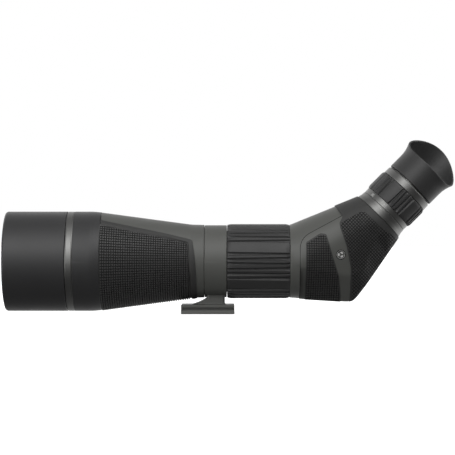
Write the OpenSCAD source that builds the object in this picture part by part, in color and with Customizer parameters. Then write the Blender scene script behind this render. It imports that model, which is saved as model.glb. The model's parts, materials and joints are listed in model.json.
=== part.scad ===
// Angled spotting scope: 85 mm objective, Schmidt roof prism, zoom eyepiece at 45 degrees.
// Millimetres, +Z up. The origin is the mouth of the tripod thread in the foot's base.
// The objective looks along -X, the eyepiece rises towards +X, and the lock knob is on +Y.

/* [Main tube] */
// Height of the optical axis above the foot's base
axis_h = 52.2; // [52:0.1:56]
// Outer radius of the sunshade and the front ring
shade_r = 49.6; // [49.5:0.1:50]
// Front edge of the sunshade, pushed in
shade_front = -202.7; // [-206:0.1:-201]
// Shoulder between the sliding sunshade and the fixed trim ring
trim_front = -140.8; // [-142:0.1:-140]
// Rear edge of the trim ring
trim_rear = -134.1; // [-135:0.1:-133]
// Rear edge of the black front ring
front_ring_rear = -107.4; // [-109:0.1:-106]
// Radius of the grey shell where its taper starts
taper_r0 = 48.6; // [48:0.1:48.6]
// Radius of the grey shell where its taper ends
taper_r1 = 36.6; // [36.2:0.1:37]
// Where the taper ends
taper_end = -17.7; // [-20:0.1:-16]

/* [Collar and foot] */
// Front face of the rotating collar
collar_front = -5.0; // [-5.2:0.1:-4.8]
// Rear face of the rotating collar
collar_rear = 17.1; // [16.9:0.1:17.2]
// Outer radius of the collar
collar_r = 36.0; // [35.8:0.1:36.2]
// Length of the dovetail foot
foot_l = 53; // [50:0.5:60]
// Front end of the foot, measured from the tripod thread
foot_front = -28.3; // [-30:0.1:-26]
// Full width of the dovetail
foot_w = 38; // [37.5:0.1:38.5]
// Height of the foot plate
foot_h = 9.3; // [9:0.1:10]
// Radius of the tripod thread's bore (1/4-20 at its major diameter)
thread_r = 3.2; // [3.18:0.01:3.3]
// Radius of the anti-twist pin hole
pin_hole_r = 2.3; // [2.2:0.05:2.4]
// Distance of the anti-twist pin hole in front of the thread
pin_hole_x = -14; // [-15:0.5:-13]

/* [Focus] */
// Outer radius of the ribbed focus grip
focus_grip_r = 37.1; // [36.8:0.1:37.3]
// Front end of the focus grip
focus_front = 17.5; // [17.4:0.1:17.8]
// Rear end of the focus grip
focus_rear = 79.4; // [79:0.1:79.5]
// Turn of the focus ring from far to near, in degrees
focus_turn = 540; // [360:30:540]
// Travel of the focusing lens over that turn
focus_travel = 15; // [12:0.5:15]

/* [Eyepiece] */
// Where the eyepiece axis crosses the main axis
eye_x = 124.1; // [123.5:0.1:125]
// Rise of the eyepiece axis, in degrees
eye_angle = 45; // [44:1:46]
// Start of the fixed base ring, along the eyepiece axis
base_start = 62.2; // [62:0.1:62.5]
// Radius of the zoom grip
zoom_grip_r = 28.25; // [28:0.05:28.5]
// Turn of the zoom ring, in degrees
zoom_turn = 150; // [120:10:150]
// Travel of the front zoom group, towards the prism
zoom_front_travel = -8; // [-8:0.5:-6]
// Travel of the rear zoom group, towards the prism
zoom_rear_travel = -4; // [-4:0.5:-2]
// Turn of the eyecup from down to up, in degrees
cup_turn = 120; // [90:10:120]
// Rise of the eyecup over that turn
cup_rise = 10; // [8:0.5:10]
// Tilt height of the eyecup's wing above its plain rim
wing_h = 20; // [16:1:22]

/* [Hidden] */
$fn = 96;

GREY = [0.40, 0.40, 0.38];
BLACK = [0.15, 0.15, 0.15];
RUBBER = [0.11, 0.11, 0.11];
METAL = [0.62, 0.62, 0.60];
ANODISED = [0.20, 0.20, 0.20];
STEEL = [0.70, 0.70, 0.72];
BRASS = [0.75, 0.60, 0.30];
NYLON = [0.85, 0.84, 0.80];
GLASS = [0.65, 0.78, 0.85, 0.45];

wall = 2;
slack = 0.08;        // radial running clearance
seat = 0.05;         // gap between two pieces that are fitted face to face
cut = 0.5;           // how far a cutter runs past the face that it opens

barrel_r = 46.6;     // objective barrel under the sunshade
lens_r = 44.2;       // objective lens elements
clear_r = 42.5;      // clear aperture, 85 mm across
barrel_front = -197.7;
guide_x = -192;      // front guide ring of the sunshade
guide_w = 4;
shade_bore = 47.9;

sleeve_r = 30.5;     // spine tube through the collar and the focus ring
seat_r = 32.9;       // journal of the shell that the collar turns on
collar_bore = 33.6;

cam_pin_r = 1.5;
cam_w = 2 * cam_pin_r + 0.5;
focus_pin_x = 38;
focus_lens_x = 44;

tube_r = 22.4;       // eyepiece tube that the zoom ring turns on
tube_bore = 20.6;
scale_start = base_start + 8.7;
grip_start = scale_start + 5.8;
grip_end = grip_start + 21.9;
top_ring_end = grip_end + 7.7;
front_pin_s = 82.5;
rear_pin_s = 94;
cup_start = top_ring_end + 1.3;
cup_r = 27.05;
cup_corner = 137.2;  // plain rim of the eyecup
cup_pin_s = 123;
ocular_end = 125;

// ---------- placement and shared shapes ----------

// Children drawn along +Z lie along the main optical axis, with +Z turned to +X.
module on_main() {
    translate([0, 0, axis_h]) rotate([0, 90, 0]) children();
}

// Children drawn along +Z lie along the eyepiece axis, measured from the crossing of the axes.
module on_eye() {
    translate([eye_x, 0, axis_h]) rotate([0, 90 - eye_angle, 0]) children();
}

module ring(r_out, r_in, a, b) {
    rotate_extrude() translate([r_in, a]) square([r_out - r_in, b - a]);
}

module turned(points) {
    rotate_extrude() polygon(points);
}

function bowl(r, z, sag, n = 8) = [for (i = [0:n]) [r * i / n, z + sag * pow(i / n, 2)]];
function reversed(list) = [for (i = [len(list) - 1:-1:0]) list[i]];

// A lens of radius r: each face starts at its vertex and bends by its sag at the edge.
module lens(r, z_front, sag_front, z_back, sag_back) {
    turned(concat(bowl(r, z_front, sag_front), reversed(bowl(r, z_back, sag_back))));
}

// A helical groove's cutter, from angle a0 turning by sweep while it climbs by rise from z0.
// It runs on past both ends by the angle `extra`, so that the follower stops short of its ends.
module helix_cutter(r_in, r_out, width, a0, z0, sweep, rise) {
    extra = 2 * cam_w / 3 / r_in * 180 / PI;
    dir = sign(sweep);
    a_first = a0 - dir * extra;
    a_span = sweep + dir * 2 * extra;
    n = ceil(abs(a_span) / 6);
    slope = rise / sweep;
    points = [for (i = [0:n]) let (a = a_first + a_span * i / n, z = z0 + slope * (a - a0))
        each [for (p = [[r_in, -1], [r_out, -1], [r_out, 1], [r_in, 1]])
            [p[0] * cos(a), p[0] * sin(a), z + p[1] * width / 2]]];
    walls = [for (i = [0:n - 1], k = [0:3]) let (a = 4 * i + k, b = 4 * i + (k + 1) % 4)
        each [[a, a + 4, b], [b, a + 4, b + 4]]];
    faces = concat([[0, 1, 2, 3]], walls, [[for (k = [3:-1:0]) 4 * n + k]]);
    polyhedron(points, dir < 0 ? faces : [for (f = faces) reversed(f)]);
}

// A straight slot through a tube wall, with round ends, at angle a.
module slot_cutter(r_in, r_out, width, a, z0, z1) {
    rotate([0, 0, a]) {
        translate([r_in, -width / 2, z0]) cube([r_out - r_in, width, z1 - z0]);
        for (z = [z0, z1]) translate([r_in, 0, z]) rotate([0, 90, 0]) cylinder(d = width, h = r_out - r_in);
    }
}

module radial_pin(r, a, z, r_in, r_out) {
    rotate([0, 0, a]) translate([r_in, 0, z]) rotate([0, 90, 0]) cylinder(r = r, h = r_out - r_in);
}

// A tube with long flutes cut along it, in groups, as on both rubber grips.
module fluted_grip(r_out, r_in, a, b, chamfer, groups, flutes, pitch, flute_r, start) {
    difference() {
        turned([
            [r_in, a], [r_out - 0.9, a], [r_out, a + chamfer],
            [r_out, b - chamfer], [r_out - 0.9, b], [r_in, b],
        ]);
        for (g = [0:groups - 1], k = [0:flutes - 1])
            rotate([0, 0, start + g * 360 / groups + k * pitch])
                translate([r_out + flute_r * 0.35, 0, a - cut])
                    cylinder(r = flute_r, h = b - a + 2 * cut, $fn = 24);
    }
}

// ---------- collar, foot and lock ----------

module foot_profile() {
    half = foot_w / 2;
    neck = half - 3.3;
    polygon([
        [half - 0.6, 0], [half, 0.6], [neck, 3.9], [neck, 5.2], [half + 0.2, 6.6],
        [half + 0.2, foot_h - 0.5], [half - 0.3, foot_h],
        [-half + 0.3, foot_h], [-half - 0.2, foot_h - 0.5],
        [-half - 0.2, 6.6], [-neck, 5.2], [-neck, 3.9], [-half, 0.6], [-half + 0.6, 0],
    ]);
}

// The pedestal's outline from the side: a straight rear edge and a long curved toe in front.
module pedestal_outline() {
    top = axis_h - collar_bore * 0.93;
    toe = [for (i = [0:8]) let (t = i / 8) [-24 + 21 * t, foot_h - 0.5 + 7 * pow(t, 1.9)]];
    heel = [for (i = [0:4]) let (a = 90 * i / 4) [16.5 - 1.3 * sin(a), foot_h + 1.3 - 1.3 * cos(a)]];
    polygon(concat([[-24, 6.8]], toe, [[-3, top], [15.2, top]], reversed(heel), [[16.5, 6.8]]));
}

lock_y = 45;         // outer face of the lock boss

module mount_collar() {
    color(GREY) difference() {
        union() {
            on_main() turned([
                [collar_bore, collar_front], [collar_r - 0.3, collar_front], [collar_r, collar_front + 0.3],
                [collar_r, collar_rear - 0.6], [collar_r - 0.6, collar_rear], [collar_bore, collar_rear],
            ]);
            difference() {
                translate([0, 13, 0]) rotate([90, 0, 0]) linear_extrude(26) pedestal_outline();
                on_main() translate([0, 0, -40]) cylinder(r = collar_bore + 1, h = 80);
            }
            translate([foot_front, 0, 0]) rotate([90, 0, 90]) linear_extrude(foot_l) foot_profile();
            difference() {
                translate([6, 30, axis_h]) rotate([-90, 0, 0]) cylinder(r = 9, h = lock_y - 30);
                on_main() translate([0, 0, -40]) cylinder(r = collar_bore + 1, h = 80);
            }
        }
        translate([0, 0, -cut]) cylinder(r = 4.8, h = 9 + cut);
        translate([pin_hole_x, 0, -cut]) cylinder(r = pin_hole_r, h = 6 + cut);
        translate([6, 30, axis_h]) rotate([-90, 0, 0]) cylinder(r = 4.5, h = 11);
        translate([6, 30, axis_h]) rotate([-90, 0, 0]) cylinder(r = 3 + slack, h = lock_y - 30 + cut);
    }
}

module collar_liner() {
    color(NYLON) difference() {
        on_main() ring(collar_bore, seat_r + slack, collar_front + 0.3, collar_rear - 0.3);
        translate([6, 20, axis_h]) rotate([-90, 0, 0]) cylinder(r = 4.5, h = 30);
    }
}

module tripod_insert() {
    color(STEEL) difference() {
        cylinder(r = 4.8, h = 9);
        translate([0, 0, -cut]) cylinder(r = thread_r, h = 9 + 2 * cut);
    }
}

// Brass pad that the stud pushes against the journal.
module lock_shoe() {
    color(BRASS) difference() {
        translate([6, 32, axis_h]) rotate([-90, 0, 0]) cylinder(r = 4.5 - slack, h = 7);
        on_main() translate([0, 0, -20]) cylinder(r = seat_r + slack, h = 60);
        translate([6, 36.5, axis_h]) rotate([-90, 0, 0]) cylinder(r = 2.3 + slack, h = 5);
    }
}

module lock_stud() {
    color(STEEL) translate([6, 36.6, axis_h]) rotate([-90, 0, 0]) {
        cylinder(r = 2.3, h = 3);
        translate([0, 0, 2.6]) cylinder(r = 3.0, h = 14.4);
    }
}

module lock_knob() {
    color(BLACK) translate([6, 46.2, axis_h]) rotate([-90, 0, 0]) difference() {
        union() {
            cylinder(r = 7, h = 3);
            translate([0, 0, 2.5])
                turned([[0, 0], [10.2, 0], [11, 0.8], [11, 9.2], [9.8, 10.4], [0, 10.4]]);
        }
        translate([0, 0, -cut]) cylinder(r = 3.05, h = 7.8 + cut);
        for (i = [0:11]) rotate([0, 0, 30 * i]) translate([11.6, 0, 2]) cylinder(r = 1.5, h = 12, $fn = 24);
    }
}

// ---------- front of the scope ----------

module sunshade() {
    color(BLACK) on_main() turned([
        [shade_bore, shade_front + 1.0], [shade_bore + 0.5, shade_front + 0.2],
        [shade_r - 0.9, shade_front],
        [shade_r - 0.2, shade_front + 0.7], [shade_r, shade_front + 1.8],
        [shade_r, trim_front - 0.6], [shade_r - 0.3, trim_front - 0.3],
        [barrel_r + 0.3, trim_front - 0.3], [barrel_r + 0.3, trim_front - 3.3],
        [shade_bore, trim_front - 3.9],
    ]);
}

module trim_ring() {
    color(METAL) on_main() ring(shade_r - 0.1, barrel_r + seat, trim_front, trim_rear);
}

// The barrel carries the lens elements in front, and its rear is held inside the shell.
module objective_barrel() {
    color(ANODISED) on_main() difference() {
        union() {
            ring(barrel_r, lens_r + seat, barrel_front, -112);
            ring(lens_r + cut, clear_r, -175.45, -172.5);
            ring(lens_r + cut, clear_r - 2, -151, -150);
        }
        ring(barrel_r + cut, barrel_r - 1, guide_x, guide_x + guide_w);
        ring(barrel_r + cut, barrel_r - 0.9, -128, -126);
    }
}

module shade_guide_ring() {
    color(NYLON) on_main() ring(shade_bore - 0.2, barrel_r - 1, guide_x + 0.1, guide_x + guide_w - 0.1);
}

module objective_front_lens() {
    color(GLASS) on_main() lens(lens_r, -193.8, 4.6, -181.2, -3.6);
}

module objective_spacer() {
    color(ANODISED) on_main() turned([
        [clear_r, -184.45], [lens_r, -184.75], [lens_r, -183.36], [clear_r, -183.1],
    ]);
}

module objective_rear_lens() {
    color(GLASS) on_main() lens(lens_r, -179.6, -3.7, -174.4, -1.2);
}

module objective_retainer() {
    color(ANODISED) on_main() turned([
        [lens_r, -197.2], [lens_r, -189.3], [clear_r, -189.6], [clear_r, -194.5], [clear_r + 1.2, -197.2],
    ]);
}

module objective_oring() {
    color(RUBBER) on_main() ring(barrel_r + seat, barrel_r - 0.9, -127.9, -126.1);
}

module front_ring() {
    color(BLACK) on_main() turned([
        [48.05, trim_rear + 0.1], [shade_r - 0.3, trim_rear + 0.1], [shade_r, trim_rear + 0.4],
        [shade_r, -117], [shade_r - 0.15, -113.5], [48.75, front_ring_rear], [48.05, front_ring_rear],
    ]);
}

// Radius of the grey shell at x, along its taper.
function shell_r(x) =
    taper_r0 + (taper_r1 - taper_r0) * (x - front_ring_rear) / (taper_end - front_ring_rear);

module barrel_shell() {
    color(GREY) on_main() turned([
        [48, trim_rear + 0.1], [48, front_ring_rear + seat],
        [shell_r(front_ring_rear), front_ring_rear + seat],
        [shell_r(taper_end - 4), taper_end - 4], [taper_r1, taper_end], [36.3, -12], [36.3, -5.6],
        [36.0, -5.3], [seat_r, -5.3], [seat_r, 17.2],
        [sleeve_r + seat, 17.2], [sleeve_r + seat, -3], [sleeve_r - 2, -3], [sleeve_r - 2, -6],
        [sleeve_r + 1.5, -8.5], [taper_r1 - wall - 0.5, taper_end],
        [shell_r(-100) - wall, -100], [shell_r(-100) - wall, -107],
        [lens_r - 1, -109.5], [lens_r - 1, -111.9],
        [barrel_r + seat, -111.9], [barrel_r + seat, trim_rear + 0.1],
    ]);
}

// The rubber pad wraps the belly of the taper, and its top edge runs down towards the rear.
module pad_outline() {
    front = front_ring_rear + 0.2;
    polygon([
        [front, 92.9], [-84, 88.1], [-57, 82.8], [-39, 78.8], [-21, 74.4], [-17.5, 72.8], [-16, 69.8],
        [-14.2, 56.4], [-13, 38.6], [-12.6, 0], [front, 0],
    ]);
}

module barrel_armour() {
    color(RUBBER) intersection() {
        on_main() turned([
            [shell_r(front_ring_rear) + seat, front_ring_rear + 0.1],
            [shell_r(front_ring_rear) + 0.25, front_ring_rear + 0.1],
            [39.3, -29.7], [37.9, taper_end], [36.9, -8.6], [36.35, -8.6], [36.35, -12],
            [taper_r1 + seat, taper_end], [shell_r(taper_end - 4) + seat, taper_end - 4],
        ]);
        translate([0, 70, 0]) rotate([90, 0, 0]) linear_extrude(140) pad_outline();
    }
}

// ---------- focus ----------

module focus_sleeve() {
    color(ANODISED) on_main() difference() {
        ring(sleeve_r, sleeve_r - wall, -2.9, 86);
        slot_cutter(20, 40, cam_w, 0, focus_pin_x, focus_pin_x + focus_travel);
        for (z = [20, 76]) ring(sleeve_r + cut, sleeve_r - 0.8, z, z + 1.6);
    }
}

module focus_orings() {
    color(RUBBER) on_main() for (z = [20, 76]) ring(sleeve_r + 0.02, sleeve_r - 0.8, z + 0.1, z + 1.5);
}

module focus_cam_ring() {
    color(ANODISED) on_main() difference() {
        ring(33.6, sleeve_r + slack, focus_front - 0.1, focus_rear + 0.1);
        helix_cutter(sleeve_r - 1, 32.4, cam_w, 0, focus_pin_x, -focus_turn, focus_travel);
    }
}

module focus_grip() {
    color(RUBBER) on_main()
        fluted_grip(focus_grip_r, 33.6, focus_front, focus_rear, 3.4, 6, 6, 7.8, 0.95, 17.7);
}

module focus_carriage() {
    color(ANODISED) on_main() difference() {
        ring(sleeve_r - wall - slack, 22, focus_pin_x - 4, focus_pin_x + 14);
        ring(26.1, 21, focus_lens_x - 4, focus_pin_x + 15);
        radial_pin(cam_pin_r, 0, focus_pin_x, 20, 32);
    }
}

module focus_lens() {
    color(GLASS) on_main() lens(26, focus_lens_x - 1.2, -2.7, focus_lens_x + 1.6, 1.6);
}

module focus_lens_retainer() {
    color(ANODISED) on_main() ring(26.05, 22.5, focus_lens_x + 3.4, focus_lens_x + 6.4);
}

module focus_pin() {
    color(STEEL) on_main() radial_pin(cam_pin_r, 0, focus_pin_x, 23, 32.1);
}

// ---------- prism housing ----------

corner_x = 138.5;    // bottom rear corner of the housing
corner_z = 20.5;
corner_r = 8.3;

flank_x = 88.8;      // where the round flange ends and the slanted lower flanks begin
flank_d = 29.8;      // their distance from the main axis
flank_angle = 50;    // how far they turn under
flank_dip = 4;       // how steeply their edge runs down towards the heel

// Cutters for both lower flanks, moved out by `grow` and starting at x.
module flank_cutters(grow, x) {
    for (side = [0, 1]) mirror([0, side, 0])
        translate([flank_x, 0, axis_h]) rotate([0, flank_dip, 0]) rotate([-flank_angle, 0, 0])
            translate([x - flank_x, flank_d + grow, -60]) cube([100, 60, 120]);
}

// The housing's body: a disc at the focus ring, a disc at the eyepiece and a rounded heel,
// with its lower flanks cut to a blunt keel under the prism's roof.
module housing_body(grow) {
    difference() {
        hull() {
            on_main() translate([0, 0, 80]) cylinder(r = 36.4 + grow, h = 7, $fn = 64);
            on_eye() translate([0, 0, base_start - 3]) cylinder(r = 28.3 + grow, h = 3, $fn = 64);
            for (y = [-15, 15]) translate([corner_x, y, corner_z]) sphere(r = corner_r + grow, $fn = 32);
        }
        flank_cutters(grow, flank_x);
    }
}

module prism_housing() {
    color(GREY) difference() {
        housing_body(0);
        difference() {
            housing_cavity();
            for (y = [-33, 20]) translate([cage_x + 2.05, y, 40]) cube([8, 13, 16]);
        }
        cage_screw_places() cylinder(r = 1.1, h = 8);
        on_main() translate([0, 0, 79]) cylinder(r = sleeve_r + seat, h = 7.6);
        on_eye() translate([0, 0, base_start - 20]) cylinder(r = 22.6, h = 30);
        translate([corner_x - 12, 0, 0]) cylinder(r = 2.1, h = 30);
    }
}

// The cavity is the body drawn in by the wall, kept clear of both end flanges.
module housing_cavity() {
    difference() {
        hull() {
            on_main() translate([0, 0, 86.5]) cylinder(r = 34, h = 1, $fn = 48);
            on_eye() translate([0, 0, base_start - 7]) cylinder(r = 26, h = 1, $fn = 48);
            for (y = [-15, 15]) translate([corner_x, y, corner_z]) sphere(r = corner_r - 2.4, $fn = 24);
        }
        flank_cutters(-wall, 80);
    }
}

// Outline of the ribbed side panels in front of the grey band, seen from the side.
module side_outline() {
    polygon([
        [94.7, 0], [94.8, 69], [96.2, 72.3], [106.8, 78.8], [109.5, 79.8], [112.5, 79.5],
        [115, 77.2], [116.6, 71.5], [120, 61.8], [123.6, 51.2], [127.2, 38.8], [129.6, 22.6], [131, 0],
    ]);
}

// Outline of the rear panel between the grey band and the eyepiece's base ring.
module rear_outline() {
    polygon([
        [124, 112], [127, 104.1], [130.6, 96.7], [128.2, 91], [128, 87], [131.4, 79.6], [134.6, 68.2],
        [137.9, 55.2], [139.1, 43], [139.4, 5], [230, 60], [160, 140],
    ]);
}

module armour_layer() {
    difference() {
        housing_body(0.9);
        housing_body(0.02);
        on_main() translate([0, 0, 70]) cylinder(r = 50, h = 20);
        on_eye() translate([0, 0, base_start - 1.5]) cylinder(r = 50, h = 20);
    }
}

module side_armour() {
    color(RUBBER) intersection() {
        armour_layer();
        translate([0, 60, 0]) rotate([90, 0, 0]) linear_extrude(120) side_outline();
    }
}

module rear_armour() {
    color(RUBBER) intersection() {
        armour_layer();
        translate([0, 60, 0]) rotate([90, 0, 0]) linear_extrude(120) rear_outline();
    }
}

module badge() {
    place = [128.9, 0, 59.3];
    color(BLACK) translate(place) rotate([90, 0, 0]) intersection() {
        cylinder(r = 4.85, h = 60);
        rotate([-90, 0, 0]) translate(-place) difference() {
            housing_body(0.5);
            housing_body(0.03);
        }
    }
}

// Section of the Schmidt prism: two long faces that meet at 45 degrees at the top, and the roof below.
prism_l = 48;
prism_t = 17;
prism_w = 34;
prism_a = [eye_x - (prism_l - 2.4142 * prism_t), axis_h + prism_t];
prism_b = [prism_a[0], prism_a[1] - prism_l];
prism_c = [prism_a[0] + prism_l * sin(45), prism_a[1] - prism_l * cos(45)];

module roof_prism() {
    color(GLASS) intersection() {
        translate([0, prism_w / 2, 0]) rotate([90, 0, 0]) linear_extrude(prism_w)
            polygon([prism_a, prism_b, prism_c]);
        translate([prism_b[0], 0, prism_b[1]]) rotate([0, -22.5, 0]) rotate([45, 0, 0])
            translate([-20, 0, 0]) cube([90, 60, 60]);
    }
}

cage_y = prism_w / 2 + 0.1;
cage_x = prism_a[0] - 2.1;

module prism_cage() {
    color(ANODISED) difference() {
        union() {
            for (side = [0, 1]) mirror([0, side, 0]) {
                translate([0, cage_y + 2, 0]) rotate([90, 0, 0]) linear_extrude(2)
                    polygon([[cage_x, 70], [125, 70], [148, 44], [148, 36], [132, 32], [cage_x, 32]]);
                translate([cage_x, cage_y + 1, 40]) cube([2, 6, 16]);
            }
            translate([cage_x, -cage_y - 1, 32]) cube([2, 2 * cage_y + 2, 38]);
        }
        translate([cage_x - cut, 0, axis_h]) rotate([0, 90, 0]) cylinder(r = 15.5, h = 3);
        cage_screw_places() cylinder(r = 1.1, h = 9);
    }
}

// The four screws stand on the housing's posts, with +Z turned to +X.
module cage_screw_places() {
    for (y = [-22, 22], z = [43, 53]) translate([cage_x - 2.1, y, z]) rotate([0, 90, 0]) children();
}

module cage_screws() {
    color(STEEL) cage_screw_places() {
        cylinder(r = 1.9, h = 2.05);
        cylinder(r = 1.05, h = 7);
    }
}

module prism_clip() {
    color(STEEL) difference() {
        translate([prism_a[0] - 3, -cage_y - 3, 57.5]) cube([6, 2 * cage_y + 6, 13.5]);
        translate([prism_a[0] - 4, -cage_y - 2.05, 57]) cube([8, 2 * cage_y + 4.1, 13.2]);
    }
}

module purge_screw() {
    color(STEEL) translate([corner_x - 12, 0, 13.2]) difference() {
        cylinder(r = 2.05, h = 4);
        translate([0, 0, -cut]) cylinder(r = 0.8, h = 1.8 + cut, $fn = 6);
    }
}

// ---------- eyepiece ----------

module eyepiece_base_ring() {
    color(METAL) on_eye() turned([
        [tube_r + seat, base_start + 0.1], [28.4, base_start + 0.1], [27.3, base_start + 5],
        [27.0, base_start + 8.4], [tube_r + seat, base_start + 8.4],
    ]);
}

module eyepiece_tube() {
    color(ANODISED) on_eye() difference() {
        ring(tube_r, tube_bore, base_start - 8, grip_end + 2);
        slot_cutter(18, 26, cam_w, 0, front_pin_s + zoom_front_travel, front_pin_s);
        slot_cutter(18, 26, cam_w, 180, rear_pin_s + zoom_rear_travel, rear_pin_s);
        ring(tube_r + cut, tube_r - 0.7, base_start - 5, base_start - 3.4);
    }
}

module eyepiece_oring() {
    color(RUBBER) on_eye() ring(tube_r + 0.1, tube_r - 0.7, base_start - 4.9, base_start - 3.5);
}

module field_stop() {
    color(ANODISED) on_eye() turned([
        [tube_bore - seat, base_start - 7], [tube_bore - seat, base_start - 4], [11, base_start - 4],
        [11, base_start - 4.6], [tube_bore - 1, base_start - 7],
    ]);
}

module zoom_cam_ring() {
    color(METAL) on_eye() difference() {
        turned([
            [tube_r + slack, scale_start], [26.7, scale_start], [26.9, scale_start + 0.2],
            [26.9, grip_start - 0.1],
            [25.6, grip_start - 0.1], [25.6, grip_end], [tube_r + slack, grip_end],
        ]);
        helix_cutter(tube_r - 1, 24.4, cam_w, 0, front_pin_s, -zoom_turn, zoom_front_travel);
        helix_cutter(tube_r - 1, 24.4, cam_w, 180, rear_pin_s, -zoom_turn, zoom_rear_travel);
    }
}

module zoom_grip() {
    color(RUBBER) on_eye() fluted_grip(zoom_grip_r, 25.6, grip_start, grip_end, 2.6, 6, 4, 9.6, 0.95, 24);
}

module zoom_front_carriage() {
    color(ANODISED) on_eye() difference() {
        ring(tube_bore - slack, 15, front_pin_s - 8, front_pin_s + 2.2);
        ring(17.6, 14, front_pin_s - 9, front_pin_s - 2.5);
        radial_pin(cam_pin_r, 0, front_pin_s, 14, 26);
    }
}

module zoom_front_lens() {
    color(GLASS) on_eye() lens(17.5, front_pin_s - 7.6, -0.3, front_pin_s - 5, 2.2);
}

module zoom_front_pin() {
    color(STEEL) on_eye() radial_pin(cam_pin_r, 0, front_pin_s, 15.6, 24.2);
}

module zoom_rear_carriage() {
    color(ANODISED) on_eye() difference() {
        ring(tube_bore - slack, 15, rear_pin_s - 7, rear_pin_s + 3);
        ring(17.6, 14, rear_pin_s - 2, rear_pin_s + 4);
        radial_pin(cam_pin_r, 180, rear_pin_s, 18.5, 26);
    }
}

module zoom_rear_lens() {
    color(GLASS) on_eye() lens(17.5, rear_pin_s - 1.6, 0.9, rear_pin_s + 3.4, -1.4);
}

module zoom_rear_pin() {
    color(STEEL) on_eye() radial_pin(cam_pin_r, 180, rear_pin_s, 18.6, 24.2);
}

// The fixed top ring and the tube that holds the eye lens, with a keyway for the glide ring.
module ocular_housing() {
    color(METAL) on_eye() difference() {
        turned([
            [19.8, grip_end + 2.2], [tube_r + seat, grip_end + 2.2], [tube_r + seat, grip_end + 0.3],
            [27.15, grip_end + 0.3], [27.15, top_ring_end - 2.2], [25.6, top_ring_end], [22, top_ring_end],
            [22, ocular_end], [18.6, ocular_end], [18.6, ocular_end - 13], [17, ocular_end - 13],
            [17, grip_end + 8], [19.8, grip_end + 5],
        ]);
        rotate([0, 0, 90]) translate([21, -1.6, top_ring_end + 0.2])
            cube([4, 3.2, ocular_end - top_ring_end]);
        for (a = [0, 180]) radial_pin(1.2, a, cup_pin_s, 20, 24);
    }
}

module eye_lens() {
    color(GLASS) on_eye() lens(18.5, ocular_end - 12.4, -0.5, ocular_end - 3.6, -3.4);
}

module eye_lens_retainer() {
    color(ANODISED) on_eye() turned([
        [16.6, ocular_end - 6.25], [18.55, ocular_end - 6.9], [18.55, ocular_end - 0.5],
        [17.8, ocular_end - 0.5], [16.6, ocular_end - 2.5],
    ]);
}

module eyecup_pins() {
    color(STEEL) on_eye() for (a = [0, 180]) radial_pin(1.2, a, cup_pin_s, 20, 23.4);
}

// A nylon ring that climbs with the eyecup without turning: its key runs in the housing's keyway.
module glide_ring() {
    color(NYLON) on_eye() {
        ring(24.2, 22 + slack, cup_start + 1.05, cup_start + 2.45);
        rotate([0, 0, 90]) translate([21.2, -1.52, cup_start + 1.05]) cube([1.2, 3.04, 1.4]);
    }
}

module eyecup_core() {
    color(BLACK) on_eye() difference() {
        ring(25, 22 + slack, cup_start + 0.1, ocular_end + 1.2);
        ring(24.2 + slack, 21.5, cup_start + 0.95, cup_start + 2.55);
        for (a = [0, 180]) helix_cutter(21.4, 23.7, 3, a, cup_pin_s, -cup_turn, -cup_rise);
    }
}

// Outer radius of the eyecup, t from 0 at the start of its flare to 1 at its plain rim.
function flare_r(t) = cup_r + 3.8 * pow(t, 2.3);
flare_start = 122;
flare_l = cup_corner - flare_start;

module eyecup_rubber() {
    steps = 6;
    outside = concat(
        [[cup_r - 0.8, cup_start], [cup_r, cup_start + 0.8]],
        [for (i = [0:steps]) [flare_r(i / steps), flare_start + flare_l * i / steps]],
        [[31.2, cup_corner + wing_h + 4]]
    );
    inside = concat(
        [[29.4, cup_corner + wing_h + 4]],
        [for (i = [steps:-1:2]) [flare_r(i / steps) - 1.8, flare_start + flare_l * i / steps]],
        [[23.2, ocular_end + 1.8], [23.2, ocular_end + 1.25], [25, ocular_end + 1.25], [25, cup_start]]
    );
    color(RUBBER) on_eye() difference() {
        turned(concat(outside, inside));
        wing_cutter();
    }
}

// A wide drum across the cup trims the rim: low on -Y, level at the sides and a wing on +Y.
// Its circle passes through the rim's lowest point, its sides and the wing's top.
module wing_cutter() {
    low = wing_h / 4;
    span = 30.8;
    drum_z = (2 * pow(span, 2) + pow(wing_h, 2) + pow(low, 2)) / (2 * (wing_h - low));
    drum_y = -(pow(span, 2) + pow(low, 2) + 2 * low * drum_z) / (2 * span);
    translate([-50, drum_y, cup_corner + drum_z]) rotate([0, 90, 0])
        cylinder(r = norm([drum_y, drum_z]), h = 100, $fn = 180);
}

mount_collar();
collar_liner();
tripod_insert();
lock_shoe();
lock_knob();
lock_stud();
barrel_shell();
barrel_armour();
front_ring();
trim_ring();
objective_barrel();
shade_guide_ring();
objective_front_lens();
objective_spacer();
objective_rear_lens();
objective_retainer();
objective_oring();
sunshade();
focus_sleeve();
focus_cam_ring();
focus_grip();
focus_carriage();
focus_lens();
focus_lens_retainer();
focus_pin();
focus_orings();
prism_housing();
side_armour();
rear_armour();
badge();
prism_cage();
roof_prism();
prism_clip();
cage_screws();
purge_screw();
eyepiece_base_ring();
eyepiece_tube();
eyepiece_oring();
field_stop();
zoom_cam_ring();
zoom_grip();
zoom_front_carriage();
zoom_front_lens();
zoom_front_pin();
zoom_rear_carriage();
zoom_rear_lens();
zoom_rear_pin();
ocular_housing();
eye_lens();
eye_lens_retainer();
eyecup_pins();
glide_ring();
eyecup_core();
eyecup_rubber();
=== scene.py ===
"""Finished look of an angled 85 mm spotting scope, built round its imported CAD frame.

Every length here is in millimetres; Mesh.build() turns them into metres.
The objective looks along -X, the eyepiece rises towards +X, and +Z is up.
"""
import json
import math

import bmesh
import bpy
from mathutils import Matrix, Vector
from mathutils.bvhtree import BVHTree


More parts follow.
